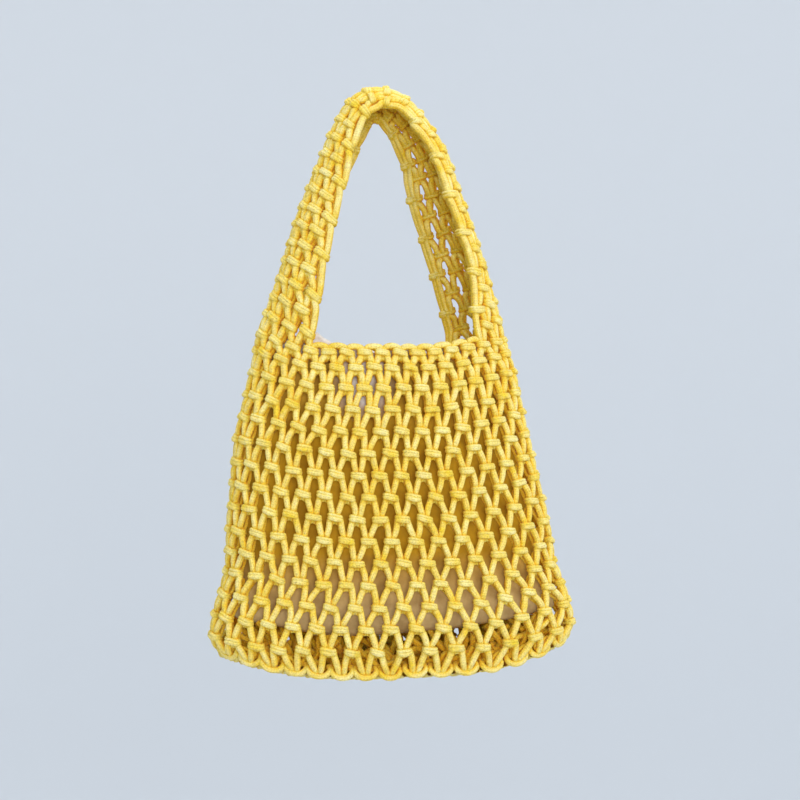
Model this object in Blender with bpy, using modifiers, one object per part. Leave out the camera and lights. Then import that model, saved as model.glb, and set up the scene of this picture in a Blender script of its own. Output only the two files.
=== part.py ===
# Net bucket bag: a knotted cotton-cord net with an oval base, one broad net
# strap that rises from its two sides as a cupped arch, and a loose cloth pouch
# inside.  The bag is modelled as it hangs from the top of its strap.
# Origin: the grip point, under the crest of the strap.  +Z up, -Y the front.

import math

import bmesh
import bpy
import numpy as np

MM = 0.001

# The net
COLUMNS = 32            # knots in one round of the real net
STEP = 2                # the solid net is cut at twice the pitch, in columns
ROWS = 8                # rounds of knots in the body at that pitch
RIM_Z = -162.0          # middle of the arched loops of the rim, mm
FIRST_ROW_Z = -176.0    # first round of knots under the rim
ROW_PITCH = 25.9
BAND_TOP_Z = -366.5     # closed band round the base
BAND_FOOT_Z = -371.5
BASE_DROP = 2.5         # the base sags below the band
BASE_INSET = 9.0
KNOT_HALF_HEIGHT = 6.0
RIM_HALF_HEIGHT = 2.2
KNOT_HALF_TOP = 0.74    # half width of a knot near the rim, in columns
KNOT_HALF_FOOT = 0.64   # and near the base
NET_THICKNESS = 4.6
NET_OUTSIDE = 3.0       # part of the thickness outside the middle surface
RIDGE = 1.8             # rise of a ridged knot
RIDGED_ROWS = 7         # rows of ridged knots on the front
STRAP_HALF = 3          # the strap covers this many columns to each side
SEAM = 1.45             # parting between the body net and the strap net

# The pouch
POUCH_GAP = 6.5         # from the middle surface of the net
POUCH_EDGE_GAP = 2.7    # at the pouch's edge, which lies against the rim
POUCH_THICKNESS = 1.2
POUCH_FOOT_Z = -333.0
POUCH_COLUMNS = 40

# Level of the front middle, centre x, half width, half depth and the rise of
# the rows at the left and right ends, all in mm, down the body.
WALL = np.array([
    # z       x     a     b    left right
    [-160.0,  3.0,  78.0, 26.5,  9.0,  9.0],
    [-187.0,  4.0,  85.0, 31.0,  9.0, 11.0],
    [-228.0,  3.5,  94.5, 34.0,  9.0, 12.0],
    [-284.0,  8.0, 104.0, 36.0,  7.0, 10.0],
    [-312.0, 10.0, 107.0, 37.0,  8.0, 10.0],
    [-338.0, 11.0, 115.0, 38.0, 10.0, 11.0],
    [-353.0, 11.0, 116.0, 37.0, 12.0, 13.0],
    [-366.0, 11.0, 113.0, 34.0, 15.0, 17.0],
    [-376.0, 11.0, 108.0, 30.0, 19.0, 21.0],
])
ROUNDING = 2.4          # exponent of the oval section

# The back line of the strap's cup, how far its arms reach towards the loop,
# half depth front to back, and how far the cup turns to the front, degrees.
STRAP = np.array([
    #  x       z      reach depth turn
    [-75.6, -154.0,  26.0, 26.0,   6.0],
    [-68.5, -132.0,  24.0, 24.0,   4.0],
    [-59.5, -106.0,  22.0, 21.0,   2.0],
    [-52.0,  -80.0,  21.0, 20.0,   0.0],
    [-40.0,  -49.5,  19.0, 18.0,  -6.0],
    [-28.5,  -21.5,  17.0, 16.5, -13.0],
    [-15.5,   -0.5,  16.5, 15.5, -10.0],
    [  2.0,    5.5,  16.0, 15.0,  -6.0],
    [ 20.5,   -3.0,  17.0, 16.0,  -6.0],
    [ 40.5,  -29.5,  20.0, 18.0, -10.0],
    [ 51.0,  -56.5,  23.0, 21.0, -12.0],
    [ 66.0,  -99.0,  24.0, 23.0, -12.0],
    [ 74.5, -126.0,  25.0, 24.5, -11.0],
    [ 82.0, -154.0,  26.0, 26.0,  -8.0],
])
CUP_DEGREES = 31.0      # turn of the cup for one column
STRAP_FOOT_Z = -163.0   # level of the front middle at which the strap begins
BLEND = 60.0            # length over which its section changes


def wall_point(z, column, inset=0.0):
    """Point of the body's middle surface at a column from the front middle."""
    x0, a, b, left, right = (np.interp(-z, -WALL[:, 0], WALL[:, k]) for k in range(1, 6))
    a, b = a - inset, b - inset
    t = np.linspace(-math.pi, math.pi, 721)
    x = a * np.sign(np.sin(t)) * np.abs(np.sin(t)) ** (2 / ROUNDING)
    y = -b * np.sign(np.cos(t)) * np.abs(np.cos(t)) ** (2 / ROUNDING)
    along = np.concatenate([[0.0], np.cumsum(np.hypot(np.diff(x), np.diff(y)))])
    place = ((column / COLUMNS + 0.5) % 1.0) * along[-1]
    px, py = np.interp(place, along, x), np.interp(place, along, y)
    side = abs(px) / a
    ends = max(0.0, (side - 0.25) / 0.75) ** (1.3 if z > -345.0 else 2.0)
    rise = (right if px > 0 else left) * ends
    return np.array([x0 + px, py, z + rise])


def strap_curve():
    """The strap table, smoothed and sampled evenly: distance and columns."""
    fine = []
    for k in range(len(STRAP) - 1):
        p0 = STRAP[max(k - 1, 0)]
        p1, p2 = STRAP[k], STRAP[k + 1]
        p3 = STRAP[min(k + 2, len(STRAP) - 1)]
        for t in np.linspace(0.0, 1.0, 12, endpoint=False):
            fine.append(0.5 * ((2 * p1) + (p2 - p0) * t + (2 * p0 - 5 * p1 + 4 * p2 - p3) * t ** 2
                               + (3 * p1 - p0 - 3 * p2 + p3) * t ** 3))
    fine.append(STRAP[-1])
    fine = np.array(fine)
    gone = np.concatenate([[0.0], np.cumsum(np.hypot(np.diff(fine[:, 0]), np.diff(fine[:, 1])))])
    return gone, fine


GONE, LINE = strap_curve()


def strap_point(distance, column):
    """Point of the strap's middle surface; columns run from front (-) to back (+)."""
    length = GONE[-1]
    inside = min(max(distance, 0.0), length)
    x, z, reach, depth, turn = (np.interp(inside, GONE, LINE[:, k]) for k in range(5))
    step = 4.0
    lo, hi = max(inside - step, 0.0), min(inside + step, length)
    tx = np.interp(hi, GONE, LINE[:, 0]) - np.interp(lo, GONE, LINE[:, 0])
    tz = np.interp(hi, GONE, LINE[:, 1]) - np.interp(lo, GONE, LINE[:, 1])
    size = math.hypot(tx, tz)
    nx, nz = tz / size, -tx / size
    angle = math.radians(-column * CUP_DEGREES + turn)
    into = reach * (1.0 - math.cos(angle))
    cup = np.array([x + nx * into, -depth * math.sin(angle), z + nz * into])
    near = min(distance, length - distance)
    if near > BLEND:
        return cup
    # Near its foot the cup takes the section of the body's end
    left = distance < length / 2
    side = -COLUMNS / 4 if left else COLUMNS / 4
    body_column = side - column if left else side + column
    if near <= 0.0:
        return wall_point(STRAP_FOOT_Z + near, body_column)
    end = wall_point(STRAP_FOOT_Z, side)
    body = np.array([x, 0.0, z]) + wall_point(STRAP_FOOT_Z, body_column) - end
    t = near / BLEND
    share = t * t * (3 - 2 * t)
    return body * (1.0 - share) + cup * share


def wall_place(z, column, out=0.0):
    here = wall_point(z, column)
    if out == 0.0:
        return here
    along = wall_point(z, column + 0.1) - wall_point(z, column - 0.1)
    down = wall_point(z - 1.0, column) - wall_point(z + 1.0, column)
    normal = np.cross(down, along)
    return here + out * normal / np.linalg.norm(normal)


def strap_place(distance, column, out=0.0):
    return strap_point(distance, column)


class Net:
    """Knots and the legs between them, drawn as one surface with its gaps open."""

    def __init__(self, place, sign):
        self.mesh = bmesh.new()
        self.place = place
        self.sign = sign        # +1 where the rows' measure grows upwards in the net

    def point(self, level, column, out=0.0):
        return self.mesh.verts.new([c * MM for c in self.place(level, column, out)])

    def face(self, corners):
        self.mesh.faces.new(corners)

    def knot(self, level, column, half_width, half_height, ridged=False):
        """A bar of three faces across; its top and bottom corners are kept."""
        across = (-1.0, -1.0 / 3.0, 1.0 / 3.0, 1.0)
        steps = (1.0, 0.0, -1.0) if ridged else (1.0, -1.0)
        rows = []
        for up in steps:
            rows.append([self.point(level + self.sign * up * half_height, column + part * half_width,
                                    RIDGE if up == 0.0 else 0.0) for part in across])
        for upper, lower in zip(rows, rows[1:]):
            for k in range(3):
                self.face((upper[k], lower[k], lower[k + 1], upper[k + 1]))
        return {"top": rows[0], "bottom": rows[-1]}

    def leg(self, upper, lower):
        """A leg from two neighbouring corners down to two others."""
        self.face((upper[0], lower[0], lower[1], upper[1]))

    def finish(self, name, material, collection):
        data = bpy.data.meshes.new(name)
        self.mesh.to_mesh(data)
        self.mesh.free()
        thing = bpy.data.objects.new(name, data)
        collection.objects.link(thing)
        data.materials.append(material)
        shell = thing.modifiers.new("cord thickness", "SOLIDIFY")
        shell.thickness = NET_THICKNESS * MM
        shell.offset = 2.0 * NET_OUTSIDE / NET_THICKNESS - 1.0
        shell.use_even_offset = False
        return thing


def row_level(row):
    return FIRST_ROW_Z - ROW_PITCH * (row - 1)


def half_width(row):
    return KNOT_HALF_TOP + (KNOT_HALF_FOOT - KNOT_HALF_TOP) * max(0, row - 1) / (ROWS - 1)


def plain_material(name, colour, roughness):
    material = bpy.data.materials.new(name)
    material.use_nodes = True
    shader = material.node_tree.nodes["Principled BSDF"]
    shader.inputs["Base Color"].default_value = colour
    shader.inputs["Roughness"].default_value = roughness
    shader.inputs["Metallic"].default_value = 0.0
    material.diffuse_color = colour
    return material


def wrapped(column):
    """Column from the front middle, between -16 and 16."""
    return (column + COLUMNS / 2) % COLUMNS - COLUMNS / 2


def build_body(material, collection):
    net = Net(wall_place, +1)
    spots = COLUMNS // STEP
    side = COLUMNS / 4

    # Rim: arched loops over the front and the back, none under the strap
    above = {}
    for k in range(spots):
        column = k * STEP
        if abs(abs(wrapped(column)) - side) > STRAP_HALF:
            above[column] = net.knot(RIM_Z, column, half_width(1), RIM_HALF_HEIGHT)

    # Rounds of alternating knots
    for row in range(1, ROWS + 1):
        shift = row % 2
        here = {}
        for k in range(spots):
            column = k * STEP + shift
            ridged = row <= RIDGED_ROWS and abs(wrapped(column)) <= 6.0
            here[column] = net.knot(row_level(row), column, half_width(row), KNOT_HALF_HEIGHT, ridged)
        for column, knot in above.items():
            left = here[(column - 1) % COLUMNS]
            right = here[(column + 1) % COLUMNS]
            net.leg(knot["bottom"][0:2], left["top"][2:4])
            net.leg(knot["bottom"][2:4], right["top"][0:2])
        above = here

    # Base: a closed band, drawn in and filled across from front to back
    shift = (ROWS + 1) % 2
    half = half_width(ROWS)
    ring_columns = []
    for k in range(spots):
        for part in (-1.0, -1.0 / 3.0, 1.0 / 3.0, 1.0):
            ring_columns.append((k * STEP + shift) + part * half)
    count = len(ring_columns)
    band_top = [net.point(BAND_TOP_Z, c) for c in ring_columns]
    band_foot = [net.point(BAND_FOOT_Z, c) for c in ring_columns]
    for column, knot in above.items():
        left = int(round(((column - 1 - shift) % COLUMNS) / STEP)) * 4
        right = int(round(((column + 1 - shift) % COLUMNS) / STEP)) * 4
        net.leg(knot["bottom"][0:2], band_top[left + 2:left + 4])
        net.leg(knot["bottom"][2:4], band_top[right:right + 2])
    inner = []
    for c in ring_columns:
        x, y, z = wall_point(BAND_FOOT_Z, c, inset=BASE_INSET)
        inner.append(net.mesh.verts.new((x * MM, y * MM, (z - BASE_DROP) * MM)))
    for k in range(count):
        n = (k + 1) % count
        net.face((band_top[k], band_foot[k], band_foot[n], band_top[n]))
        net.face((band_foot[k], inner[k], inner[n], band_foot[n]))
    partner = {}
    for k, c in enumerate(ring_columns):
        mirrored = (COLUMNS / 2 - c) % COLUMNS
        partner[k] = min(range(count), key=lambda m: abs(wrapped(ring_columns[m] - mirrored)))
    front = sorted((k for k, c in enumerate(ring_columns) if abs(wrapped(c)) < side),
                   key=lambda k: wrapped(ring_columns[k]))
    for k, n in zip(front, front[1:]):
        net.face((inner[k], inner[partner[k]], inner[partner[n]], inner[n]))
    return net.finish("body_net", material, collection)


def build_strap(material, collection):
    net = Net(strap_place, -1)
    length = GONE[-1]
    foot = (FIRST_ROW_Z + KNOT_HALF_HEIGHT + SEAM) - STRAP_FOOT_Z
    pitch_count = 2 * round((length - 2 * (foot + ROW_PITCH * 0.55)) / ROW_PITCH / 2)
    first = foot + ROW_PITCH * 0.55 + 6.0
    pitch = (length - 2 * first) / pitch_count
    half = half_width(1)

    def ends(upwards, knots):
        """Legs that meet the body's first round, with a fine parting."""
        level = foot if upwards else length - foot
        key = "top" if upwards else "bottom"
        for column, knot in knots.items():
            for side in (-1, 1):
                pair = knot[key][0:2] if side < 0 else knot[key][2:4]
                inner, outer = half / 3.0, half
                near = sorted((column + side * (1 - inner), column + side * (1 - outer)))
                cut = [net.point(level, c) for c in near]
                if upwards:
                    net.leg(cut, pair)
                else:
                    net.leg(pair, cut)

    above, edge = None, None
    for row in range(pitch_count + 1):
        level = first + row * pitch
        columns = (-2, 0, 2) if row % 2 == 0 else (-1, 1)
        here = {c: net.knot(level, c, half, KNOT_HALF_HEIGHT) for c in columns}
        if row == 0:
            ends(True, here)
        if above is not None:
            for column, knot in above.items():
                if column - 1 in here:
                    net.leg(knot["bottom"][0:2], here[column - 1]["top"][2:4])
                if column + 1 in here:
                    net.leg(knot["bottom"][2:4], here[column + 1]["top"][0:2])
        if row % 2 == 1:
            # the straight edge cords beside a row of two knots
            edge = {}
            for side in (-1, 1):
                lo, hi = 2 * side + side * half / 3.0, 2 * side + side * half
                edge[side] = [net.point(level, c) for c in sorted((lo, hi))]
                knot = above[2 * side]
                pair = knot["bottom"][0:2] if side < 0 else knot["bottom"][2:4]
                net.leg(pair, edge[side])
        elif edge is not None:
            for side in (-1, 1):
                pair = here[2 * side]["top"][0:2] if side < 0 else here[2 * side]["top"][2:4]
                net.leg(edge[side], pair)
        above = here
    ends(False, above)
    return net.finish("strap_net", material, collection)


def pouch_top(column):
    """Height of the pouch's loose edge: gathered, proud at the left front."""
    c = wrapped(column)
    ruffle = 1.6 * math.sin(2 * math.pi * c / 3.2) + 0.8 * math.sin(2 * math.pi * c / 1.9 + 1.0)
    proud = 5.0 * math.exp(-((c + 5.5) / 2.2) ** 2)
    return -163.5 + ruffle + proud


def build_pouch(material, collection):
    levels = (0.0, 0.08, 0.26, 0.46, 0.66, 0.84, 0.95)
    mesh = bmesh.new()
    columns = [COLUMNS * k / POUCH_COLUMNS for k in range(POUCH_COLUMNS)]
    rings = []
    for level in levels:
        ring = []
        for c in columns:
            z = pouch_top(c) + (POUCH_FOOT_Z - pouch_top(c)) * level
            fold = 0.9 + 0.9 * math.sin(2 * math.pi * c / 6.4 + 1.5 * level)
            # the edge is caught on the rim, the wall hangs clear of the net
            inset = POUCH_EDGE_GAP if level == 0.0 else POUCH_GAP + fold
            ring.append(mesh.verts.new([v * MM for v in wall_point(z, c, inset)]))
        rings.append(ring)
    foot = []
    for c in columns:
        x, y, z = wall_point(POUCH_FOOT_Z, c, POUCH_GAP + 8.0)
        foot.append(mesh.verts.new((x * MM, y * MM, z * MM)))
    rings.append(foot)
    for upper, lower in zip(rings, rings[1:]):
        for k in range(POUCH_COLUMNS):
            n = (k + 1) % POUCH_COLUMNS
            mesh.faces.new((upper[k], lower[k], lower[n], upper[n]))
    # The foot is filled across from front to back
    quarter = POUCH_COLUMNS // 4
    for k in range(-quarter, quarter):
        a, b = k % POUCH_COLUMNS, (k + 1) % POUCH_COLUMNS
        c, d = (2 * quarter - k - 1) % POUCH_COLUMNS, (2 * quarter - k) % POUCH_COLUMNS
        corners = [foot[a], foot[d], foot[c], foot[b]]
        unique = []
        for corner in corners:
            if corner not in unique:
                unique.append(corner)
        mesh.faces.new(unique)
    data = bpy.data.meshes.new("pouch")
    mesh.to_mesh(data)
    mesh.free()
    thing = bpy.data.objects.new("pouch", data)
    collection.objects.link(thing)
    data.materials.append(material)
    shell = thing.modifiers.new("cloth thickness", "SOLIDIFY")
    shell.thickness = POUCH_THICKNESS * MM
    shell.offset = -1.0
    return thing


for thing in list(bpy.data.objects):
    bpy.data.objects.remove(thing)

bag = bpy.data.collections.new("net_bucket_bag")
bpy.context.scene.collection.children.link(bag)

cord = plain_material("yellow cotton cord", (0.87, 0.62, 0.13, 1.0), 0.85)
linen = plain_material("off-white linen", (0.82, 0.77, 0.68, 1.0), 0.9)

build_body(cord, bag)
build_strap(cord, bag)
build_pouch(linen, bag)
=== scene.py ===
import math

import bpy
import numpy as np
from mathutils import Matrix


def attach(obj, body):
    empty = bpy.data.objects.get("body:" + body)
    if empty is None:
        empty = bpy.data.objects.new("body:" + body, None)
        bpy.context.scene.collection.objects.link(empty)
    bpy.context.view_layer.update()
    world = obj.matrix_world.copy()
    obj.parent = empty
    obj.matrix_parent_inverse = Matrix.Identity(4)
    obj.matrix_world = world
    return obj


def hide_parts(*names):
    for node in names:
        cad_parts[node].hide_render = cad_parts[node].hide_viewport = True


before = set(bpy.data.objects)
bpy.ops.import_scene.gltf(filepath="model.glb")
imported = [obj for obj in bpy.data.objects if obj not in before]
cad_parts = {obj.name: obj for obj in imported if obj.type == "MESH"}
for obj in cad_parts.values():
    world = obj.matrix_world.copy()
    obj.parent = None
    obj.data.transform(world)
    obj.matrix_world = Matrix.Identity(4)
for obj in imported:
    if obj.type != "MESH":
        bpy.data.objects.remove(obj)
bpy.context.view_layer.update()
rng = np.random.default_rng(7)

# Body net
# 4 mm braided cotton cord in alternating knots, 32 to a round and 15 rounds
# deep, worked over an oval that widens from the rim to the base. Lengths are
# in mm until a mesh is made.
COLUMNS = 32
ROWS = 15
CORD = 1.95                 # radius of the cord
WALL = np.array([
    # level  middle  half length, half depth, rise of the left and right end
    [-160.0,  3.0,  78.0, 26.5, 13.0,  9.0],
    [-187.0,  4.0,  85.0, 31.0, 10.0, 11.0],
    [-228.0,  3.5,  94.5, 34.0,  9.0, 12.0],
    [-284.0,  8.0, 104.0, 36.0,  7.0, 10.0],
    [-312.0, 10.0, 107.0, 37.0,  8.0, 10.0],
    [-338.0, 11.0, 115.5, 38.0,  7.5, 11.0],
    [-353.0, 11.0, 118.0, 37.0,  8.5, 12.5],
    [-366.0, 11.0, 115.5, 34.0, 14.5, 17.0],
    [-376.0, 11.0, 108.0, 30.0, 19.0, 21.0],
])
ROUNDING = 2.4              # power of the oval: 2 is an ellipse and more is squarer


def wall_ring(level, columns, inset=0.0):
    """Points of the net's middle surface at one level, for columns counted from the middle of the front."""
    middle, a, b, left_rise, right_rise = (np.interp(-level, -WALL[:, 0], WALL[:, k]) for k in range(1, 6))
    a = a - inset
    b = b - inset
    t = np.linspace(-math.pi, math.pi, 1441)    # a quarter of a degree apart
    x = a * np.sign(np.sin(t)) * np.abs(np.sin(t)) ** (2 / ROUNDING)
    y = -b * np.sign(np.cos(t)) * np.abs(np.cos(t)) ** (2 / ROUNDING)
    along = np.concatenate([[0.0], np.cumsum(np.hypot(np.diff(x), np.diff(y)))])
    place = ((columns / COLUMNS + 0.5) % 1.0) * along[-1]
    px = np.interp(place, along, x)
    py = np.interp(place, along, y)
    # the rounds rise towards the two ends, most suddenly just under the strap's left leg
    curve = 1.3 if level > -345.0 else 2.0
    steep = np.interp(-level, [165.0, 228.0], [3.6, curve])
    ends = np.clip((np.abs(px) / a - 0.25) / 0.75, 0.0, 1.0) ** np.where(px > 0, curve, max(steep, curve))
    rise = np.where(px > 0, right_rise, left_rise) * ends
    return np.stack([middle + px, py, level + rise], axis=-1)


class NetSurface:
    """The middle surface of a net, sampled on rows and columns and read with its directions."""

    def __init__(self, rows, columns, points):
        self.rows = rows
        self.columns = columns
        self.points = points

    def place(self, row, column):
        i = (row - self.rows[0]) / (self.rows[1] - self.rows[0])
        j = (column - self.columns[0]) / (self.columns[1] - self.columns[0])
        i = np.clip(i, 0.0, len(self.rows) - 1.001)
        j = np.clip(j, 0.0, len(self.columns) - 1.001)
        i0 = i.astype(int)
        j0 = j.astype(int)
        di = (i - i0)[..., None]
        dj = (j - j0)[..., None]
        p = self.points
        top = p[i0, j0] * (1 - dj) + p[i0, j0 + 1] * dj
        low = p[i0 + 1, j0] * (1 - dj) + p[i0 + 1, j0 + 1] * dj
        return top * (1 - di) + low * di

    def knots(self, row, column, up):
        """Places for knots: middle p, directions across x, up y and outward o, and a column's width w."""
        middle = self.place(row, column)
        across = self.place(row, column + 0.3) - self.place(row, column - 0.3)
        width = np.linalg.norm(across, axis=-1) / 0.6
        across = across / np.linalg.norm(across, axis=-1, keepdims=True)
        rise = (self.place(row + 1.0, column) - self.place(row - 1.0, column)) * up
        rise = rise - across * np.sum(rise * across, axis=-1, keepdims=True)
        rise = rise / np.linalg.norm(rise, axis=-1, keepdims=True)
        return {"p": middle, "x": across, "y": rise, "o": np.cross(across, rise), "w": width}


def beside(knots, x, y, out):
    """World points that lie x across, y up and out outward from the middle of each knot."""
    x, y, out = (np.asarray(part)[..., None] for part in (x, y, out))
    if x.ndim == 3:
        knots = {key: value[:, None] for key, value in knots.items()}
    return knots["p"] + knots["x"] * x + knots["y"] * y + knots["o"] * out


def pick(knots, index):
    return {key: value[index] for key, value in knots.items()}


def tilted(knots, degrees):
    """The same knots with their across and up directions turned in the surface."""
    a = np.radians(degrees)[..., None]
    turned = dict(knots)
    turned["x"] = knots["x"] * np.cos(a) + knots["y"] * np.sin(a)
    turned["y"] = knots["y"] * np.cos(a) - knots["x"] * np.sin(a)
    return turned


def smooth_path(points, steps, closed=False):
    """A smooth curve through the control points: (n, k, 3) to (n, m, 3)."""
    if closed:
        p = np.concatenate([points[:, -1:], points, points[:, :2]], axis=1)
    else:
        first = 2 * points[:, :1] - points[:, 1:2]
        last = 2 * points[:, -1:] - points[:, -2:-1]
        p = np.concatenate([first, points, last], axis=1)
    made = []
    for k in range(p.shape[1] - 3):
        p0, p1, p2, p3 = p[:, k], p[:, k + 1], p[:, k + 2], p[:, k + 3]
        for t in np.arange(steps) / steps:
            made.append(0.5 * (2 * p1 + (p2 - p0) * t + (2 * p0 - 5 * p1 + 4 * p2 - p3) * t ** 2
                               + (3 * p1 - p0 - 3 * p2 + p3) * t ** 3))
    if not closed:
        made.append(p[:, -2])
    return np.stack(made, axis=1)


def new_object(name, data):
    thing = bpy.data.objects.new(name, data)
    bpy.context.scene.collection.objects.link(thing)
    return thing


class Cords:
    """Collects lengths of cord and turns them into one mesh."""

    def __init__(self):
        self.points = []
        self.faces = []
        self.marks = []
        self.count = 0

    def sweep(self, path, facing, radius, sides=8, closed=False):
        """Round cords along (n, m, 3) paths; their rings of points start square to the facing direction."""
        n, m, _ = path.shape
        if closed:
            ahead = np.roll(path, -1, axis=1) - np.roll(path, 1, axis=1)
        else:
            ahead = np.gradient(path, axis=1)
        ahead /= np.linalg.norm(ahead, axis=-1, keepdims=True)
        aside = np.cross(ahead, np.broadcast_to(facing, path.shape))
        aside /= np.maximum(np.linalg.norm(aside, axis=-1, keepdims=True), 1e-9)
        toward = np.cross(aside, ahead)
        radius = np.broadcast_to(np.asarray(radius, float), (n, m))[..., None, None]
        angle = np.arange(sides) / sides * 2 * math.pi
        ring = (np.cos(angle)[:, None] * aside[:, :, None, :]
                + np.sin(angle)[:, None] * toward[:, :, None, :])
        points = path[:, :, None, :] + radius * ring
        base = self.count + np.arange(n * m * sides).reshape(n, m, sides)
        nxt = np.roll(base, -1, axis=2)
        if closed:
            quads = np.stack([base, nxt, np.roll(nxt, -1, axis=1), np.roll(base, -1, axis=1)], axis=-1)
        else:
            quads = np.stack([base[:, :-1], nxt[:, :-1], nxt[:, 1:], base[:, 1:]], axis=-1)
        # marks for the braid: the share of a turn round the cord, and the length along it
        step = np.linalg.norm(np.diff(path, axis=1, append=path[:, :1]), axis=-1)
        length = np.concatenate([np.zeros((n, 1)), np.cumsum(step, axis=1)], axis=1)
        length += rng.uniform(0.0, 50.0, (n, 1))
        spans = quads.shape[1]
        u0 = np.broadcast_to(np.arange(sides) / sides, (n, spans, sides))
        u1 = u0 + 1.0 / sides
        v0 = np.broadcast_to(length[:, :spans, None], (n, spans, sides))
        v1 = np.broadcast_to(length[:, 1:spans + 1, None], (n, spans, sides))
        marks = np.stack([np.stack([u0, v0], -1), np.stack([u1, v0], -1),
                          np.stack([u1, v1], -1), np.stack([u0, v1], -1)], axis=3)
        self.points.append(points.reshape(-1, 3))
        self.faces.append(quads.reshape(-1, 4))
        self.marks.append(marks.reshape(-1, 2))
        self.count += n * m * sides

    def finish(self, name, material):
        points = np.concatenate(self.points) * 0.001
        faces = np.concatenate(self.faces)
        marks = np.concatenate(self.marks)
        mesh = bpy.data.meshes.new(name)
        mesh.vertices.add(len(points))
        mesh.vertices.foreach_set("co", points.ravel())
        mesh.loops.add(faces.size)
        mesh.loops.foreach_set("vertex_index", faces.ravel())
        mesh.polygons.add(len(faces))
        mesh.polygons.foreach_set("loop_start", np.arange(0, faces.size, 4))
        mesh.update(calc_edges=True)
        layer = mesh.uv_layers.new(name="cord")
        layer.data.foreach_set("uv", (marks * [1.0, 0.001]).ravel())
        mesh.validate()
        mesh.shade_smooth()
        mesh.materials.append(material)
        return new_object(name, mesh)


def linear(code):
    """An sRGB hex code as a linear colour."""
    parts = [int(code[k:k + 2], 16) / 255.0 for k in (1, 3, 5)]
    return [c / 12.92 if c <= 0.04045 else ((c + 0.055) / 1.055) ** 2.4 for c in parts] + [1.0]


def add(tree, kind, values=None, **settings):
    """One shader node with its settings and with its inputs set or linked.

    A colour Mix has its factor at input 0 and its colours at 6 and 7. A Map Range
    has its old limits at 1 and 2 and its new ones at 3 and 4.
    """
    node = tree.nodes.new("ShaderNode" + kind)
    for key, value in settings.items():
        setattr(node, key, value)
    for key, value in (values or {}).items():
        if isinstance(value, bpy.types.NodeSocket):
            tree.links.new(value, node.inputs[key])
        else:
            node.inputs[key].default_value = value
    return node


BRAID_TURNS = 4.0           # strands of each sense round the cord
BRAID_RUN = 3.2             # from one strand to the next along the cord, drawn coarse enough to show
# repeats to a metre
STRAND_STRAY = 700.0        # the strands wander every 1.4 mm
COTTON_FUZZ = 2600.0        # fibres 0.4 mm apart, much coarser than real ones, which wouldn't show
DYE_PATCHES = 95.0          # the dye took unevenly in patches of 10 mm
LOOP_MIDDLE = (0.005, 0.0, -0.17)       # of the strap's loop at the rim, in metres


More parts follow.
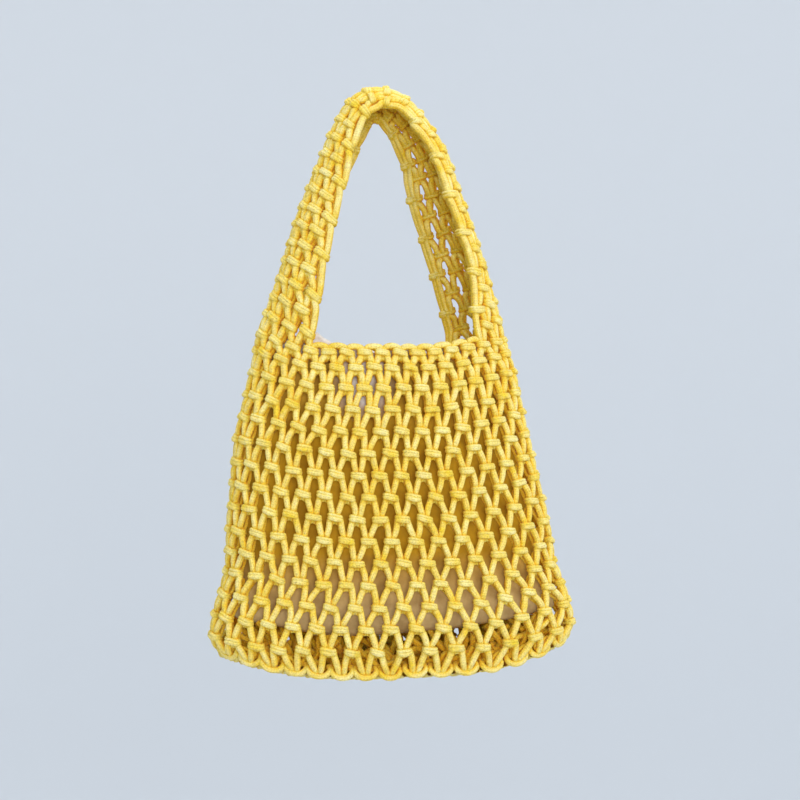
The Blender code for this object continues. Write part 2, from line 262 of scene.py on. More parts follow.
def cotton_material():
    """Braided cotton: matt, with strands crossing round the cord, a soft fuzz, uneven dye and painted
    golden shade.
    """
    material = bpy.data.materials.new("braided yellow cotton")
    material.use_nodes = True
    tree = material.node_tree
    shader = tree.nodes["Principled BSDF"]
    spot = add(tree, "TexCoord")
    mark = add(tree, "SeparateXYZ", {0: spot.outputs["UV"]})
    stray = add(tree, "TexNoise", {"Vector": spot.outputs["Object"], "Scale": STRAND_STRAY, "Detail": 2.0})
    turns = add(tree, "Math", {0: mark.outputs[0], 1: BRAID_TURNS, 2: stray.outputs[0]},
                operation="MULTIPLY_ADD")
    runs = add(tree, "Math", {0: mark.outputs[1], 1: 1000.0 / BRAID_RUN, 2: stray.outputs[0]},
               operation="MULTIPLY_ADD")
    strands = []
    for sense in ("ADD", "SUBTRACT"):
        phase = add(tree, "Math", {0: turns.outputs[0], 1: runs.outputs[0]}, operation=sense)
        cycle = add(tree, "Math", {0: phase.outputs[0], 1: 2 * math.pi}, operation="MULTIPLY")
        strands.append(add(tree, "Math", {0: cycle.outputs[0]}, operation="SINE"))
    braid = add(tree, "Math", {0: strands[0].outputs[0], 1: strands[1].outputs[0]}, operation="MULTIPLY")
    fuzz = add(tree, "TexNoise", {"Vector": spot.outputs["Object"], "Scale": COTTON_FUZZ, "Detail": 3.0})
    relief = add(tree, "Math", {0: fuzz.outputs[0], 1: 0.8, 2: braid.outputs[0]}, operation="MULTIPLY_ADD")
    bump = add(tree, "Bump", {"Height": relief.outputs[0], "Strength": 0.8, "Distance": 0.00028})
    dye = add(tree, "TexNoise", {"Vector": spot.outputs["Object"], "Scale": DYE_PATCHES, "Detail": 4.0})
    tone = add(tree, "ValToRGB", {0: dye.outputs[0]})
    tone.color_ramp.elements[0].position = 0.30
    tone.color_ramp.elements[0].color = linear("#F3CB2A")
    tone.color_ramp.elements[1].position = 0.72
    tone.color_ramp.elements[1].color = linear("#FDEA98")
    # painted shade: the grooves between the strands are darkened
    groove_painted_shade = add(tree, "MapRange", {0: braid.outputs[0], 1: -1.0, 2: 0.2, 3: 0.74, 4: 1.0})
    groove_shaded = add(tree, "Mix", {0: 1.0, 6: tone.outputs[0], 7: groove_painted_shade.outputs[0]},
                  data_type="RGBA", blend_type="MULTIPLY")
    # painted shade: where other cords hide a cord, its colour is turned golden, as light off other cords
    # would turn it
    hidden = add(tree, "AmbientOcclusion", {"Distance": 0.018}, samples=4)
    painted_gold_shade = add(tree, "ValToRGB", {0: hidden.outputs["AO"]})
    painted_gold_shade.color_ramp.elements[0].position = 0.1
    painted_gold_shade.color_ramp.elements[0].color = linear("#FFBE00")
    painted_gold_shade.color_ramp.elements[1].position = 0.93
    painted_gold_shade.color_ramp.elements[1].color = linear("#FFFFFF")
    for openness, code in ((0.4, "#FFE434"), (0.72, "#FFF48C")):
        painted_gold_shade.color_ramp.elements.new(openness).color = linear(code)
    golden = add(tree, "Mix", {0: 1.0, 6: groove_shaded.outputs[2], 7: painted_gold_shade.outputs[0]},
                 data_type="RGBA", blend_type="MULTIPLY")
    # painted shade: the strap's hollow side, which faces the middle of its loop and has only light off
    # other cords, is coloured a deeper gold above the rim
    offset = add(tree, "VectorMath", {0: spot.outputs["Object"], 1: LOOP_MIDDLE}, operation="SUBTRACT")
    flat = add(tree, "VectorMath", {0: offset.outputs[0], 1: (1.0, 0.0, 1.0)}, operation="MULTIPLY")
    away = add(tree, "VectorMath", {0: flat.outputs[0]}, operation="NORMALIZE")
    turned = add(tree, "VectorMath", {0: away.outputs[0], 1: spot.outputs["Normal"]},
                 operation="DOT_PRODUCT")
    inward = add(tree, "MapRange", {0: turned.outputs["Value"], 1: -0.1, 2: -0.7, 3: 0.0, 4: 1.0})
    height = add(tree, "SeparateXYZ", {0: spot.outputs["Object"]})
    above_rim = add(tree, "MapRange", {0: height.outputs[2], 1: -0.17, 2: -0.155})
    hollow_painted_shade = add(tree, "Math", {0: inward.outputs[0], 1: above_rim.outputs[0]}, operation="MULTIPLY")
    lit = add(tree, "Mix", {0: hollow_painted_shade.outputs[0], 6: golden.outputs[2], 7: linear("#EDD738")},
              data_type="RGBA", blend_type="MULTIPLY")
    tree.links.new(lit.outputs[2], shader.inputs["Base Color"])
    tree.links.new(bump.outputs[0], shader.inputs["Normal"])
    shader.inputs["Roughness"].default_value = 0.85
    shader.inputs["Specular IOR Level"].default_value = 0.25
    shader.inputs["Sheen Weight"].default_value = 0.2
    shader.inputs["Sheen Roughness"].default_value = 0.6
    shader.inputs["Sheen Tint"].default_value = linear("#FFE88C")
    # loose cotton lets light through and turns it golden
    shader.inputs["Subsurface Weight"].default_value = 0.3
    shader.inputs["Subsurface Scale"].default_value = 0.002
    shader.inputs["Subsurface Radius"].default_value = (1.0, 0.8, 0.3)
    return material


cotton = cotton_material()

KNOT_HALF = 5.45            # half the length of a knot's bar
FRONT_CORD = 1.7            # radius of the cord over the front of a knot, which is pulled thin
UPPER_CORD = 1.35           # radius of the one above it


def knot_bars(cords, knots, fill, size=1.0):
    """The bar of each knot: one cord over the front, its right end falling back, and a second above it."""
    n = len(knots["w"])
    # half a bar takes up no more than the share fill of a column's width
    half = np.minimum(KNOT_HALF * size, knots["w"] * fill) * rng.uniform(0.96, 1.05, n)
    slope = rng.normal(-0.10, 0.05, n)
    angle = np.arange(12) / 12 * 2 * math.pi
    s, c = np.sin(angle), np.cos(angle)
    shape = np.sign(s) * np.abs(s) ** 0.6
    bow = (1.0 - np.abs(shape)) * rng.normal(-0.25, 0.3, (n, 1))
    x = (half[:, None] - FRONT_CORD * size) * shape
    y = slope[:, None] * x - 0.5 * np.clip(shape, 0.0, 1.0) ** 4 + bow * (c > 0) - 0.35 * size
    out = 0.3 + 2.3 * np.sign(c) * np.abs(c) ** 0.7 - 0.7 * np.clip(shape, 0.0, 1.0) ** 2 * (c > 0)
    path = smooth_path(beside(knots, x, y, out + rng.normal(0.0, 0.1, (n, 1))), 2, closed=True)
    cords.sweep(path, knots["y"][:, None, :], FRONT_CORD * size, closed=True)
    x = (half[:, None] - 1.6 * size) * shape - 0.2
    rise = rng.uniform(0.75, 1.35, (n, 1)) * size
    y = rise * (1.0 - 0.25 * np.clip(shape, -0.6, 1.0)) + slope[:, None] * x
    out = 0.1 + np.where(c > 0, rng.uniform(2.0, 2.5, (n, 1)), 2.3) * np.sign(c) * np.abs(c) ** 0.7
    path = smooth_path(beside(knots, x, y, out), 2, closed=True)
    cords.sweep(path, knots["y"][:, None, :], UPPER_CORD * size, closed=True)


def knot_legs(cords, upper, lower, side, radius, drop=0.0):
    """The cord that shows most, from under a knot's outer half into the top of the next knot."""
    n = len(upper["w"])
    radius = np.broadcast_to(radius, n)[:, None]
    room = min(1.05, np.mean(upper["w"]) / 14.0)
    start = (side * 3.15 + 0.1) * room * rng.uniform(0.93, 1.07, n)
    end = (-side * 1.6 - 0.4) * min(1.0, room * 1.15) * rng.uniform(0.88, 1.12, n)
    a = beside(upper, start * 0.9, 0.4, -0.9)
    b = beside(upper, start, -2.0, -0.1)
    e = beside(lower, end, 3.0 - drop, 0.3)
    f = beside(lower, end * 0.8, 0.6 - drop, -1.2)
    bow = (upper["o"] + lower["o"]) * 0.5 * rng.uniform(0.3, 0.9, (n, 1))
    sway = upper["x"] * rng.normal(0.0, 0.22, (n, 1))
    c = b * 0.62 + e * 0.38 + bow + sway
    d = b * 0.3 + e * 0.7 + bow * 0.8 + sway
    path = smooth_path(np.stack([a, b, c, d, e, f], axis=1), 2)
    taper = np.interp(np.linspace(0, 1, path.shape[1]), [0, 0.25, 0.5, 0.75, 1],
                      [0.85, 1.0, 1.0, 0.97, 0.85])
    cords.sweep(path, upper["o"][:, None, :], radius * taper)


def knot_fillers(cords, upper, lower, side, radius, apart=3.0):
    """The core cord: a stub under the bar, then behind the leg, as far from the middle as apart says."""
    room = min(1.0, np.mean(upper["w"]) / 13.0)
    a = beside(upper, side * 0.6 * room, -0.5, -1.0)
    b = beside(upper, side * 0.65 * room, -3.0, -0.3)
    c = beside(upper, side * apart * room, -4.2, -1.2 * apart)
    d = beside(lower, -side * 2.3 * room, 4.4, -3.5)
    e = beside(lower, -side * 2.3 * room, 1.0, -2.4)
    path = smooth_path(np.stack([a, b, c, d, e], axis=1), 2)
    cords.sweep(path, upper["o"][:, None, :], radius, sides=6)


levels = np.linspace(-156.0, -380.0, 150)                           # 1.5 mm apart
wide = np.linspace(-COLUMNS / 2 - 2, COLUMNS / 2 + 2, 721)          # a twentieth of a column apart
wall = NetSurface(levels, wide, np.stack([wall_ring(z, wide) for z in levels]))


def round_level(row):
    """Level of a round at the middle of the front: 0 is the rim and 16 is where the last legs turn."""
    return np.interp(row, [0, 1, 2, 3, 15, 16], [-160.5, -165.2, -174.9, -187.4, -353.1, -367.5])


def drifted(level, column):
    """Columns of the real net lean to the left towards the base, on the front."""
    amount = np.interp(-level, [187.0, 284.0, 338.0], [0.0, 0.42, 0.62])
    near = np.clip(1.0 - np.abs(column) / 9.5, 0.0, 1.0)
    return column - amount * near * near * (3 - 2 * near)


def body_round(row, columns):
    """The knots of one round, a little out of place and tilted by hand."""
    level = np.full(len(columns), round_level(row))
    if 1 < row <= ROWS:
        level = level + rng.normal(0.0, 0.30, len(columns))
        columns = columns + rng.normal(0.0, 0.022, len(columns))
    found = wall.knots(level, drifted(level, columns), 1.0)
    tilt = rng.normal(-1.0, 3.5, len(columns)) if row <= ROWS else np.zeros(len(columns))
    return tilted(found, tilt)


rounds = []
for row in range(ROWS + 2):
    shift = 0.5 if row % 2 else 0.0
    rounds.append(body_round(row, np.arange(COLUMNS) - COLUMNS / 2 + shift))


def lower_index(row, index, side):
    """Index of the knot below to the left (-1) or right (+1)."""
    step = 0 if row % 2 else -1
    return (index + step + (1 if side > 0 else 0)) % COLUMNS


# the knots of a round that each piece takes, counted from the middle of the back
SHARES = {"front": [*range(11, 21)], "left": [*range(5, 11)], "right": [*range(21, 27)],
          "back": [*range(0, 5), *range(27, 32)]}
for name, share in SHARES.items():
    cords = Cords()
    index = np.array(share)
    for row in range(1, ROWS + 1):
        here = pick(rounds[row], index)
        knot_bars(cords, here, np.interp(row, [3, 6], [0.48, 0.44]))
        for side in (-1, 1):
            below = pick(rounds[row + 1], lower_index(row, index, side))
            # the cords are slack under the rim and at the base, and drawn tight between
            swell = np.interp(row, [1, 3, 6, 15], [1.2, 1.15, 1.02, 1.1])
            swell = swell * rng.uniform(0.97, 1.04, len(index))
            knot_legs(cords, here, below, side, CORD * swell, 2.2 if row == ROWS else 0.0)
            knot_fillers(cords, here, below, side, np.interp(row, [1, 3, 5], [2.1, 1.8, 1.2]))
    piece = cords.finish("body_net_" + name, cotton)
    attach(piece, "root")
    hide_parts("body_net")

# Rim
# The top edge of the net: two of its cords, one behind the other, arch from
# each knot of the first round to the next. The strap stands in their place at
# the two ends.
LEFT_STRAP = -7.5           # column of the body under the middle of each leg of the strap
RIGHT_STRAP = 8.0
cords = Cords()
rim_columns = np.arange(COLUMNS) - COLUMNS / 2
open_rim = (np.abs(rim_columns - LEFT_STRAP) > 3.1) & (np.abs(rim_columns - RIGHT_STRAP) > 2.6)
index = np.flatnonzero(open_rim)
left_knot = pick(rounds[1], (index - 1) % COLUMNS)
right_knot = pick(rounds[1], index)
crown = pick(rounds[0], index)
for depth, radius, lift in ((0.6, 2.05, -0.5), (-2.4, 1.8, -1.0)):
    lean = rng.normal(0.0, 0.5, len(index))
    a = beside(left_knot, 0.6, 0.6, depth - 0.9)
    b = beside(left_knot, 1.7 + lean * 0.5, 3.4, depth)
    c = beside(crown, lean, lift + rng.normal(0.0, 0.3, len(index)), depth + 0.7)
    d = beside(right_knot, -1.7 + lean * 0.5, 3.2, depth)
    e = beside(right_knot, -0.6, 0.6, depth - 0.9)
    path = smooth_path(np.stack([a, b, c, d, e], axis=1), 4)
    cords.sweep(path, crown["o"][:, None, :], radius)
piece = cords.finish("rim_loops", cotton)
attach(piece, "root")
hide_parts("body_net")

# Base
# The legs of the last round hang in U-shaped loops all round the foot, the
# cords then run across under the bag from the front loops to the back, and
# their cut ends are tucked up inside.
FOOT_MIDDLE = 11.0          # of the foot's oval, and half its length
FOOT_HALF = 106.0
CUT_ENDS = 280
cords = Cords()
foot = rounds[ROWS + 1]
half = np.minimum(6.6, foot["w"] * 0.44) * rng.uniform(0.95, 1.05, COLUMNS)
x = half[:, None] * np.array([-0.9, -1.02, -0.62, 0.0, 0.62, 1.02, 0.9])
y = np.array([2.6, 1.5, -0.7, -1.5, -0.7, 1.5, 2.6]) + rng.normal(0.0, 0.35, (COLUMNS, 1))
out = np.array([-4.6, -0.8, 1.5, 2.1, 1.5, -0.8, -4.6]) + rng.normal(0.0, 0.3, (COLUMNS, 1))
cords.sweep(smooth_path(beside(foot, x, y, out), 3), foot["o"][:, None, :], 1.9)

crossing = np.arange(-7.75, 7.8, 0.25)
front_edge = wall_ring(-368.0, crossing, 0.8)
back_edge = wall_ring(-368.0, COLUMNS / 2 - crossing, 0.8)
middle = (front_edge + back_edge) / 2
middle[:, 2] -= 4.5
path = smooth_path(np.stack([front_edge, (front_edge + middle) / 2 - [0, 0, 1.6], middle,
                             (back_edge + middle) / 2 - [0, 0, 1.6], back_edge], axis=1), 3)
path = path + rng.normal(0.0, 0.25, (len(crossing), 1, 3))
cords.sweep(path, np.array([0.0, 0.0, 1.0]), CORD, sides=6)

lie = rng.uniform(-90.0, 110.0, CUT_ENDS)
depth = 27.0 * np.sin(rng.uniform(-0.5, 0.5, CUT_ENDS) * math.pi)
swing = rng.uniform(0.0, 2 * math.pi, CUT_ENDS)
reach = rng.uniform(5.0, 13.0, CUT_ENDS)
stand = rng.uniform(3.0, 23.0, CUT_ENDS)
room = np.sqrt(np.clip(1.0 - ((lie - FOOT_MIDDLE) / FOOT_HALF) ** 4, 0.05, 1.0))
toward_end = np.clip(np.abs(lie - FOOT_MIDDLE) / FOOT_HALF - 0.25, 0.0, 1.0) / 0.75
foot_level = -368.0 + 14.0 * toward_end ** 2
path = []
for spread, height in ((-1.0, 0.0), (-0.3, 0.35), (0.4, 0.75), (1.0, 1.0)):
    wave = rng.normal(0.0, 1.5, (CUT_ENDS, 3))
    path.append(np.stack([lie + np.cos(swing) * reach * spread,
                          room * np.clip(depth + 0.6 * np.sin(swing) * reach * spread, -28.0, 28.0),
                          foot_level + 3.0 + stand * height], axis=-1) + wave)
cords.sweep(smooth_path(np.stack(path, axis=1), 3), np.array([0.0, 1.0, 0.0]), 1.9, sides=6)
piece = cords.finish("base_loops", cotton)
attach(piece, "root")
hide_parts("body_net")

# Strap
# The cords of both ends run on as one band, six and five knots wide in turn,
# cupped towards the loop, with a long straight cord along each edge.
STRAP = np.array([
    # x       z      reach depth turn of the cup in degrees
    [-75.6, -150.0,  26.0, 26.0,   6.0],
    [-68.5, -132.0,  24.0, 24.0,   4.0],
    [-59.5, -106.0,  22.0, 21.0,   2.0],
    [-52.0,  -80.0,  21.0, 20.0,   0.0],
    [-40.0,  -49.5,  19.0, 18.0,  -6.0],
    [-28.5,  -21.5,  17.0, 16.5, -13.0],
    [-15.5,   -0.5,  16.5, 15.5, -10.0],
    [  2.0,    5.5,  16.0, 15.0,  -6.0],
    [ 20.5,   -3.0,  17.0, 16.0,  -6.0],
    [ 40.5,  -29.5,  20.0, 18.0, -10.0],
    [ 51.0,  -56.5,  23.0, 21.0, -12.0],
    [ 66.0,  -99.0,  24.0, 23.0, -12.0],
    [ 74.5, -126.0,  25.0, 24.5, -11.0],
    [ 82.0, -154.0,  26.0, 26.0,  -8.0],
])
CUP_DEGREES = 31.0          # turn of the cup from one column to the next
FOOT_LEVEL = -163.0         # where a leg's surface meets the body's
LEFT_BLEND = 42.0           # where each leg starts to spread into the body, above that
RIGHT_BLEND = 60.0
LATE_BEHIND = 52.0          # how much later the back of the right leg spreads
WIDE_BEHIND = 1.35          # and how much wider it is at its foot
SAG = 0.75                  # how far a row hangs lower at its front end, times its column squared
LEG_CORD = 2.4              # radius of the strap's cords, which lie slack between its knots
LEG_KNOT = 1.13             # size of its knots, against the body's
LEG_FILL = 0.55             # most of a column's width that half a bar takes up
LEAN_OUT = -15.0            # tilt of the left leg's end knots, and of its others, in degrees
LEAN_IN = -7.0
EDGE_CORDS = ((2.3, 0.9, 2.25), (0.6, -1.6, 2.0))       # across and out from an end knot, and radius
line = smooth_path(STRAP[None], 12)[0]
gone = np.concatenate([[0.0], np.cumsum(np.hypot(np.diff(line[:, 0]), np.diff(line[:, 1])))])
crest = gone[-1] / 2


def strap_ring(distance, columns):
    """Points of the strap's middle surface at one distance along it; columns run from front to back."""
    inside = min(max(distance, 0.0), gone[-1])
    x, z, reach, depth, cup_turn = (np.interp(inside, gone, line[:, k]) for k in range(5))
    lo = max(inside - 4.0, 0.0)
    hi = min(inside + 4.0, gone[-1])
    tx = np.interp(hi, gone, line[:, 0]) - np.interp(lo, gone, line[:, 0])
    tz = np.interp(hi, gone, line[:, 1]) - np.interp(lo, gone, line[:, 1])
    size = math.hypot(tx, tz)
    left = distance < crest
    # the columns at the front of the right leg lie closer
    spread = np.where((columns < 0) & (not left), 0.82, 1.0)
    angle = np.radians(-columns * CUP_DEGREES * spread + cup_turn)
    into = reach * (1.0 - np.cos(angle))
    cup = np.stack([x + tz / size * into, -depth * np.sin(angle), z - tx / size * into], axis=-1)
    near = min(distance, gone[-1] - distance)
    blend = LEFT_BLEND if left else RIGHT_BLEND
    if near > blend:
        return cup
    if left:
        end_column = -COLUMNS / 4
        body_columns = LEFT_STRAP - columns
    else:
        end_column = COLUMNS / 4
        body_columns = RIGHT_STRAP + columns * np.where(columns > 0, WIDE_BEHIND, 1.0)
    if near <= 0.0:
        return wall_ring(FOOT_LEVEL + near, body_columns)
    end = wall_ring(FOOT_LEVEL, np.array([end_column]))[0]
    body = np.array([x, 0.0, z]) + wall_ring(FOOT_LEVEL, body_columns) - end
    late = 0.0 if left else LATE_BEHIND
    share = np.clip(near / (blend - late * np.clip(columns / 2.5, 0.0, 1.0)), 0.0, 1.0)
    share = (share ** 2 * (3 - 2 * share))[:, None]
    return body * (1.0 - share) + cup * share


distances = np.linspace(-14.0, gone[-1] + 14.0, 400)
band = np.linspace(-3.3, 3.3, 133)                      # a twentieth of a column apart
arch = NetSurface(distances, band, np.stack([strap_ring(d, band) for d in distances]))


def leg_columns(row, last_row):
    """Six and five knots in turn from the crest, 0, and seven where the left leg joins the body."""
    if row % 2 == 0:
        return np.arange(-2.5, 3.0)
    if row < last_row:
        return np.arange(-2.0, 2.5)
    return np.arange(-3.0, 3.5)


def leg_knots(distance, columns, sense):
    """Places of a leg's knots; seen from outside, the left leg's columns run the other way."""
    found = arch.knots(distance, columns, -sense)
    if sense < 0:
        found["x"] = -found["x"]
        found["o"] = np.cross(found["x"], found["y"])
    return found


def leg_row(row, last_row, pitch, sense):
    """The knots of one row of a leg, sagging and tilted as they hang."""
    columns = leg_columns(row, last_row)
    distance = np.full(len(columns), crest + sense * pitch * row)
    hangs = 0 < row < last_row
    if hangs:
        distance = distance + rng.normal(0.0, 0.25, len(columns))
        sag = np.where(columns < 0, SAG, -0.2) * columns ** 2
        distance = distance + sense * sag * min(row, last_row - row, 3) / 3
    if sense < 0:
        lean = np.where(np.abs(columns) > 2.2, LEAN_OUT, LEAN_IN)
    else:
        lean = np.where(columns > 0, 4.0, -10.0)
    lean = lean * (1.0 if hangs else 0.3)
    return tilted(leg_knots(distance, columns, sense), lean + rng.normal(0.0, 3.0, len(columns)))


def joined(count, below_count, step):
    """Which knots of a row have one below on the side that step says, and which knot that is."""
    if below_count > count:
        index = np.arange(count)
        return index, index + (1 if step > 0 else 0)
    index = np.arange(count - 1) + (0 if step > 0 else 1)
    return index, (index if step > 0 else index - 1)


def edge_cord(cords, top, halfway, low, x, off, radius):
    """A long cord down an edge, past a row of five, from one end knot to the end knot two rows on."""
    path = np.stack([beside(top, x * 0.9, 0.2, off - 1.4),
                     beside(top, x * 1.0, -2.8, off - 0.1),
                     beside(halfway, x * 1.05, 0.0, off + 0.4),
                     beside(low, x * 0.95, 3.2, off + 0.1),
                     beside(low, x * 0.8, 0.4, off - 1.3)], axis=1)
    cords.sweep(smooth_path(path, 4), top["o"][:, None, :], radius)


# each leg has its sense along the strap, its last row and its core cords, which are thicker and
# nearer the middle on the left, where little shows through
LEGS = (("left", -1.0, 15, 2.5, 1.4), ("right", 1.0, 14, 2.1, 3.0))
for name, sense, last_row, core, apart in LEGS:
    cords = Cords()
    pitch = (crest - (round_level(1) - FOOT_LEVEL)) / last_row
    rows = [leg_row(row, last_row, pitch, sense) for row in range(last_row + 1)]
    for row in range(last_row):
        here, below = rows[row], rows[row + 1]
        # the crest's row is shared, so only the right leg makes its bars
        if row > 0 or sense > 0:
            knot_bars(cords, here, LEG_FILL, LEG_KNOT)
        for side in (-1, 1):
            index, target = joined(len(here["w"]), len(below["w"]), side * sense)
            knot_legs(cords, pick(here, index), pick(below, target), side, LEG_CORD)
            knot_fillers(cords, pick(here, index), pick(below, target), side, core, apart)
    for row in range(0, last_row - 1, 2):
        for end in (0, 5):
            outer = 1.0 if (end == 5) == (sense > 0) else -1.0
            halfway = leg_knots(np.array([crest + sense * pitch * (row + 1)]), np.array([end - 2.5]), sense)
            for x, off, radius in EDGE_CORDS:
                edge_cord(cords, pick(rows[row], [end]), halfway, pick(rows[row + 2], [end]),
                          outer * (x + rng.normal(0.0, 0.15)), off, radius)
    piece = cords.finish("strap_net_" + name, cotton)
    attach(piece, "root")
    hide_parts("strap_net")

# Pouch
# A loose open-topped bag of off-white linen inside the net. Its gathered edge
# stands a little over the rim at the left front, and its foot hangs above the base.
POUCH_EDGE = -163.2
POUCH_FOOT = -344.0
POUCH_CLOTH = 0.6           # thickness of the cloth
POUCH_INSET = 8.4           # how far inside the net's middle surface the cloth hangs
EDGE_INSET = 4.6            # and how far its edge does, against the rim
around = np.linspace(-COLUMNS / 2, COLUMNS / 2, 321)[:-1]           # a tenth of a column apart
down = np.concatenate([np.linspace(0.0, 0.98, 60), [0.987, 0.994, 1.0]])
edge = (POUCH_EDGE
        + 1.3 * np.sin(2 * math.pi * around / 3.2)
        + 0.8 * np.sin(2 * math.pi * around / 1.55 + 1.0)
        + 0.5 * np.sin(2 * math.pi * around / 0.8)
        + 9.5 * np.exp(-((around + 4.5) / 1.3) ** 2))


def pouch_ring(t, within):
    """Points of one level of the pouch, from its edge, 0, to its foot, 1."""
    # broad folds that slant down, closer creases, and gathers that die out under the edge
    creases = (1.1 * np.sin(2 * math.pi * around / 6.4 + 1.5 * t)
               + 0.55 * np.sin(2 * math.pi * around / 2.3 + 3.0 * t + 1.0)
               + 0.5 * math.exp(-t / 0.15) * np.sin(2 * math.pi * around / 1.0))
    inset = POUCH_INSET + creases
    if t < 0.12:
        inset = EDGE_INSET + (inset - EDGE_INSET) * (t / 0.12)
    if t > 0.98:
        inset = inset + 7.0 * ((t - 0.98) / 0.02) ** 2
    low = POUCH_FOOT + 1.5 * np.sin(2 * math.pi * around / 11.0)
    level = edge + (low - edge) * t + within * t
    return [wall_ring(z, np.array([c]), i + within)[0] for z, c, i in zip(level, around, inset)]


def ring_faces(rings, count):
    """Faces between rings of count points each."""
    faces = []
    for i in range(rings - 1):
        for j in range(count):
            k = (j + 1) % count
            faces.append((i * count + j, i * count + k, (i + 1) * count + k, (i + 1) * count + j))
    return faces


def foot_faces(start, count, order):
    """Faces across a foot, from its front to its back, on the ring whose points begin at start."""
    faces = []
    for j in range(-(count // 4), count // 4):
        front_a = (j + count // 2) % count
        front_b = (j + 1 + count // 2) % count
        back_a = -j % count
        back_b = (-j - 1) % count
        corners = []
        for c in (front_a, back_a, back_b, front_b)[::order]:
            if start + c not in corners:
                corners.append(start + c)
        if len(corners) > 2:
            faces.append(tuple(corners))
    return faces


THREADS = 380.0             # waves 0.8 mm apart, coarser than real linen thread, which wouldn't show
SLUBS = 75.0                # uneven thread in patches of 13 mm


def linen_material():
    """Woven linen: matt, with a fine square weave, uneven slubs and painted golden light off the cords."""
    material = bpy.data.materials.new("off-white linen")
    material.use_nodes = True
    tree = material.node_tree
    shader = tree.nodes["Principled BSDF"]
    spot = add(tree, "TexCoord")
    threads = []
    for direction in ("X", "Z"):
        threads.append(add(tree, "TexWave", {"Vector": spot.outputs["Object"], "Scale": THREADS,
                                             "Distortion": 0.6, "Detail": 1.0}, bands_direction=direction))
    weave = add(tree, "Math", {0: threads[0].outputs[1], 1: threads[1].outputs[1]}, operation="ADD")
    bump = add(tree, "Bump", {"Height": weave.outputs[0], "Strength": 0.35, "Distance": 0.0002})
    slub = add(tree, "TexNoise", {"Vector": spot.outputs["Object"], "Scale": SLUBS, "Detail": 5.0})
    tone = add(tree, "ValToRGB", {0: slub.outputs[0]})
    tone.color_ramp.elements[0].position = 0.36
    tone.color_ramp.elements[0].color = linear("#C2B8AA")
    tone.color_ramp.elements[1].position = 0.62
    tone.color_ramp.elements[1].color = linear("#F2F0EC")
    # painted light: the cloth is coloured golden, as light off the cords would turn it, least at its edge
    # and at its foot
    height = add(tree, "SeparateXYZ", {0: spot.outputs["Object"]})
    share = add(tree, "MapRange", {0: height.outputs[2], 1: -0.345, 2: -0.155})
    painted_golden_light = add(tree, "ValToRGB", {0: share.outputs[0]})
    painted_golden_light.color_ramp.elements[0].position = 0.08
    painted_golden_light.color_ramp.elements[0].color = linear("#D8B878")
    painted_golden_light.color_ramp.elements[1].position = 0.99
    painted_golden_light.color_ramp.elements[1].color = linear("#FFFFFF")
    for up, code in ((0.28, "#D8A018"), (0.66, "#D49C14"), (0.92, "#DCA838")):
        painted_golden_light.color_ramp.elements.new(up).color = linear(code)
    # painted light: a pale patch stays behind the third round, left of the middle, where light falls in at
    # the mouth
    light_pool_middle = (-0.012, -0.026, -0.184)
    gap = add(tree, "VectorMath", {0: spot.outputs["Object"], 1: light_pool_middle}, operation="DISTANCE")
    pale = add(tree, "MapRange", {0: gap.outputs["Value"], 1: 0.006, 2: 0.032, 3: 1.0, 4: 0.0})
    patchy_light_pool = add(tree, "Math", {0: pale.outputs[0], 1: slub.outputs[0]}, operation="MULTIPLY")
    strength = add(tree, "MapRange", {0: patchy_light_pool.outputs[0], 1: 0.12, 2: 0.5, 3: 1.0, 4: 0.12})
    # only the outer face has the painted golden light
    face = add(tree, "Attribute", attribute_name="outside")
    golden = add(tree, "Math", {0: strength.outputs[0], 1: face.outputs["Fac"]}, operation="MULTIPLY")
    lit = add(tree, "Mix", {0: golden.outputs[0], 6: tone.outputs[0], 7: painted_golden_light.outputs[0]},
              data_type="RGBA", blend_type="MULTIPLY")
    tree.links.new(lit.outputs[2], shader.inputs["Base Color"])
    tree.links.new(bump.outputs[0], shader.inputs["Normal"])
    shader.inputs["Roughness"].default_value = 0.9
    shader.inputs["Specular IOR Level"].default_value = 0.2
    return material


# rings from the foot up the outer face, over the edge and down the inner face
outer = [pouch_ring(t, 0.0) for t in down[::-1]]
inner = [pouch_ring(t, POUCH_CLOTH) for t in down[::3]]
rings = np.array(outer + inner)
count = len(around)
faces = ring_faces(len(rings), count)
faces += foot_faces(0, count, 1)
faces += foot_faces((len(rings) - 1) * count, count, -1)
mesh = bpy.data.meshes.new("pouch_cloth")
mesh.from_pydata((rings.reshape(-1, 3) * 0.001).tolist(), [], faces)
mesh.validate()
mesh.shade_smooth()
outside = mesh.attributes.new("outside", "FLOAT", "POINT")
outside.data.foreach_set("value", np.repeat([1.0] * len(outer) + [0.0] * len(inner), count))
mesh.materials.append(linen_material())
pouch = new_object("pouch_cloth", mesh)
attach(pouch, "root")
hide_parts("pouch")

# Studio
# The bag hangs in front of a deep bowl of pale blue-grey paper, which goes on
# below it so that the base can be seen from underneath. Lengths are in metres.
BOWL = [(0.0, -1.7), (1.6, -1.7), (2.2, -1.6), (2.6, -1.3), (2.8, -0.7), (2.9, 0.4), (2.9, 2.6)]
BOWL_SIDES = 96


def paper_material():
    """Matt paper: no gloss, so the ground stays even, with painted shade that makes it darker low down."""
    material = bpy.data.materials.new("pale matt paper")
    material.use_nodes = True
    tree = material.node_tree
    shader = tree.nodes["Principled BSDF"]
    spot = add(tree, "NewGeometry")
    height = add(tree, "SeparateXYZ", {0: spot.outputs["Position"]})
    painted_low_shade = add(tree, "MapRange", {0: height.outputs[2], 1: -1.7, 2: 1.2})
    tone = add(tree, "ValToRGB", {0: painted_low_shade.outputs[0]})
    tone.color_ramp.elements[0].color = linear("#D0D5DA")
    tone.color_ramp.elements[1].color = linear("#DEE2E6")
    tree.links.new(tone.outputs[0], shader.inputs["Base Color"])
    shader.inputs["Roughness"].default_value = 0.95
    return material


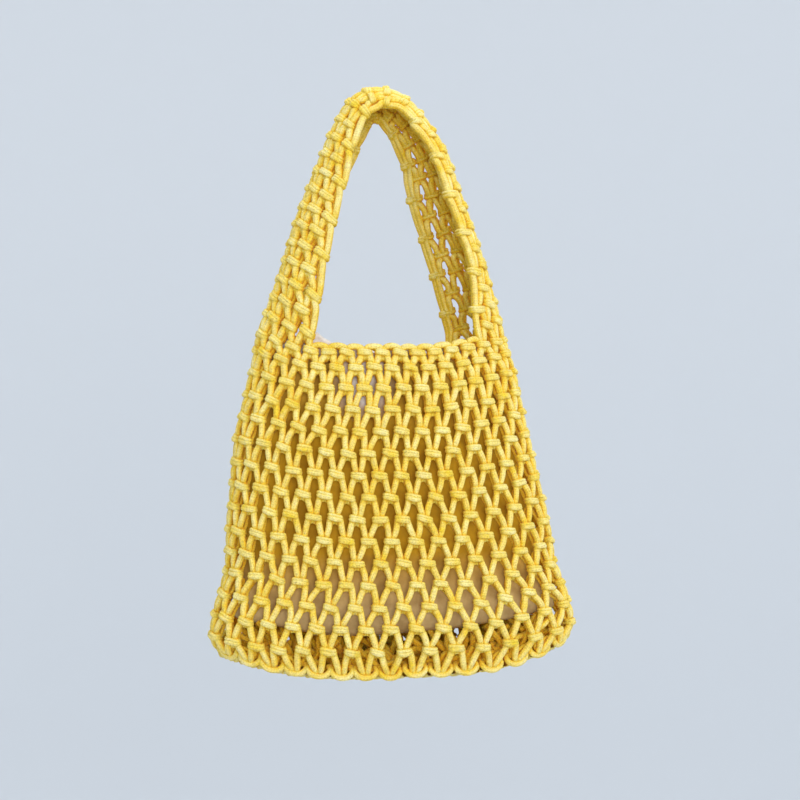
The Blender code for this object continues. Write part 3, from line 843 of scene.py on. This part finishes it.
outline = smooth_path(np.array([[[r, 0.0, z] for r, z in BOWL]]), 6)[0]
angle = np.arange(BOWL_SIDES) / BOWL_SIDES * 2 * math.pi
points = []
for r, _, z in outline:
    points += [(max(r, 0.0) * math.cos(a), max(r, 0.0) * math.sin(a), z) for a in angle]
mesh = bpy.data.meshes.new("backdrop")
mesh.from_pydata(points, [], ring_faces(len(outline), BOWL_SIDES))
mesh.shade_smooth()
mesh.materials.append(paper_material())
backdrop = new_object("backdrop", mesh)


def soft_lamp(name, place, aim, size, power, colour):
    """A square lamp at place that points at aim."""
    lamp = bpy.data.lights.new(name, "AREA")
    lamp.shape = "SQUARE"
    lamp.size = size
    lamp.energy = power
    lamp.color = colour
    toward = np.array(aim) - np.array(place)
    thing = new_object(name, lamp)
    thing.location = place
    thing.rotation_euler = (math.atan2(math.hypot(toward[0], toward[1]), -toward[2]), 0.0,
                            math.atan2(-toward[0], toward[1]))


soft_lamp("key", (0.9, -1.4, 0.8), (0.0, 0.0, -0.2), 1.0, 9.0, (1.0, 0.985, 0.96))
soft_lamp("fill", (-0.15, -1.8, 0.0), (0.0, 0.0, -0.25), 0.7, 8.0, (1.0, 0.99, 0.97))
soft_lamp("top", (0.0, 0.6, 1.6), (0.0, 0.0, -0.2), 1.4, 8.0, (0.98, 0.99, 1.0))
world = bpy.data.worlds.new("studio air")
world.use_nodes = True
world.node_tree.nodes["Background"].inputs[0].default_value = linear("#E6EAF0")
world.node_tree.nodes["Background"].inputs[1].default_value = 0.78
bpy.context.scene.world = world
bpy.context.scene.view_settings.view_transform = "Standard"
bpy.context.scene.view_settings.gamma = 1.2
bpy.context.scene.view_settings.exposure = 0.78

# Camera
# Level with the middle of the bag and a little to the left of its front, as in
# the photograph, with the bag just left of the middle of the picture.
TURN = math.radians(-12.0)
AWAY = 1.1                  # from the bag
BESIDE = 0.0143             # to the right of its hanging point
EYE_LEVEL = -0.195
right = np.array([math.cos(TURN), math.sin(TURN), 0.0])
forward = np.array([-math.sin(TURN), math.cos(TURN), 0.0])
camera = new_object("camera", bpy.data.cameras.new("camera"))
camera.location = BESIDE * right - AWAY * forward + np.array([0.0, 0.0, EYE_LEVEL])
camera.rotation_euler = (math.radians(90.0), 0.0, TURN)
camera.data.sensor_width = 36.0
camera.data.lens = 76.15
camera.data.clip_start = 0.01
bpy.context.scene.camera = camera
